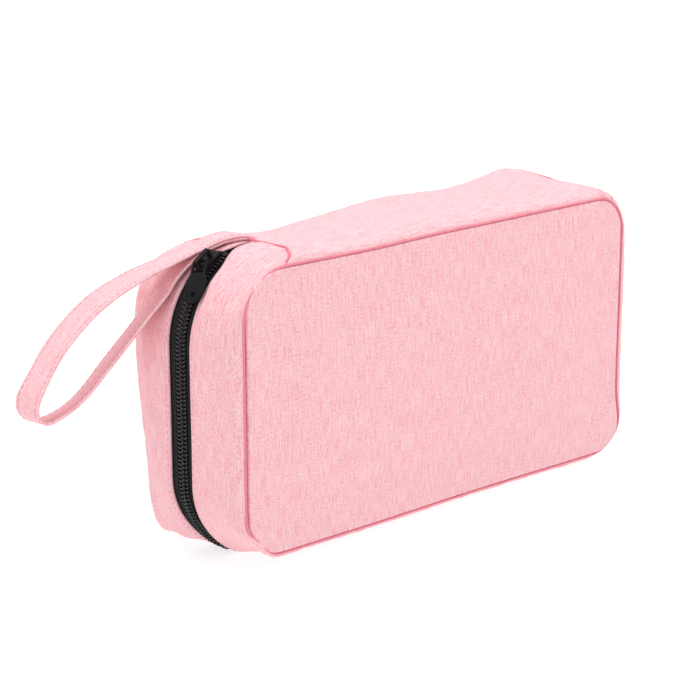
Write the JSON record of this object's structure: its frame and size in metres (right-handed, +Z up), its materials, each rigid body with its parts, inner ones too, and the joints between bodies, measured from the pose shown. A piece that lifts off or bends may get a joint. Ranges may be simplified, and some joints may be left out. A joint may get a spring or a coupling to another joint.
{
  "type": "cable organizer pouch",
  "caption": "Padded fabric zip pouch for cables and chargers, with a fold-out lid half, elastic loops, a net pocket and a wrist strap.",
  "frame": {"origin": "middle of the long zip side that the pouch stands on, under the zip's centre line", "axes": "+X along the length, away from the wrist strap; -Y towards the front panel; +Z up to the spine"},
  "size_m": [0.3099, 0.0759, 0.1385],
  "materials": {
    "outer_fabric": "pink melange weave",
    "lining_fabric": "plain grey taffeta",
    "zip_tape": "black twill tape",
    "nylon": "satin nylon coil",
    "slider_metal": "black lacquer",
    "foam": "closed-cell foam sheet",
    "elastic": "ribbed elastic and binding tape",
    "net": "polyester net"
  },
  "bodies": {
    "rear_half": {"rear_panel": "outer_fabric", "rear_foam_board": "foam", "rear_lining_panel": "lining_fabric", "rear_gusset": "outer_fabric", "rear_gusset_lining": "lining_fabric", "rear_seam_binding": "elastic", "rear_spine": "outer_fabric", "rear_spine_foam": "foam", "rear_spine_lining": "lining_fabric", "rear_zip_tape": "zip_tape", "rear_coil": "nylon", "rear_top_stop": "slider_metal", "rear_end_stop": "slider_metal", "elastic_loops": "elastic"},
    "front_half": {"front_panel": "outer_fabric", "front_foam_board": "foam", "front_lining_panel": "lining_fabric", "front_gusset": "outer_fabric", "front_gusset_lining": "lining_fabric", "front_seam_binding": "elastic", "front_spine": "outer_fabric", "front_spine_foam": "foam", "front_spine_lining": "lining_fabric", "front_zip_tape": "zip_tape", "front_coil": "nylon", "front_top_stop": "slider_metal", "front_end_stop": "slider_metal", "pocket_edge": "elastic", "pocket_net": "net", "pocket_hem": "elastic"},
    "slider": {"slider_body": "slider_metal", "slider_bail": "slider_metal"},
    "puller": {"puller": "slider_metal"},
    "strap": {"wrist_strap": "outer_fabric"}
  },
  "joints": [
    {"name": "lid_hinge", "type": "hinge", "parent": "rear_half", "child": "front_half", "pos_m": [0, 0, 0.138], "axis": [-1, 0, 0], "range_deg": [0, 180]},
    {"name": "slider_travel", "type": "hinge", "parent": "rear_half", "child": "slider", "pos_m": [-0.084, 0, 0.094], "axis": [0, -1, 0], "range_deg": [0, 32]},
    {"name": "puller_swing", "type": "hinge", "parent": "slider", "child": "puller", "pos_m": [-0.11198, 0, 0.12995], "axis": [-0.3069, 0.9272, -0.2149], "range_deg": [0, 110]},
    {"name": "strap_swing", "type": "hinge", "parent": "rear_half", "child": "strap", "pos_m": [-0.0821, 0.00074, 0.13715], "axis": [0.1961, 0.9806, 0], "range_deg": [0, 15]}
  ]
}
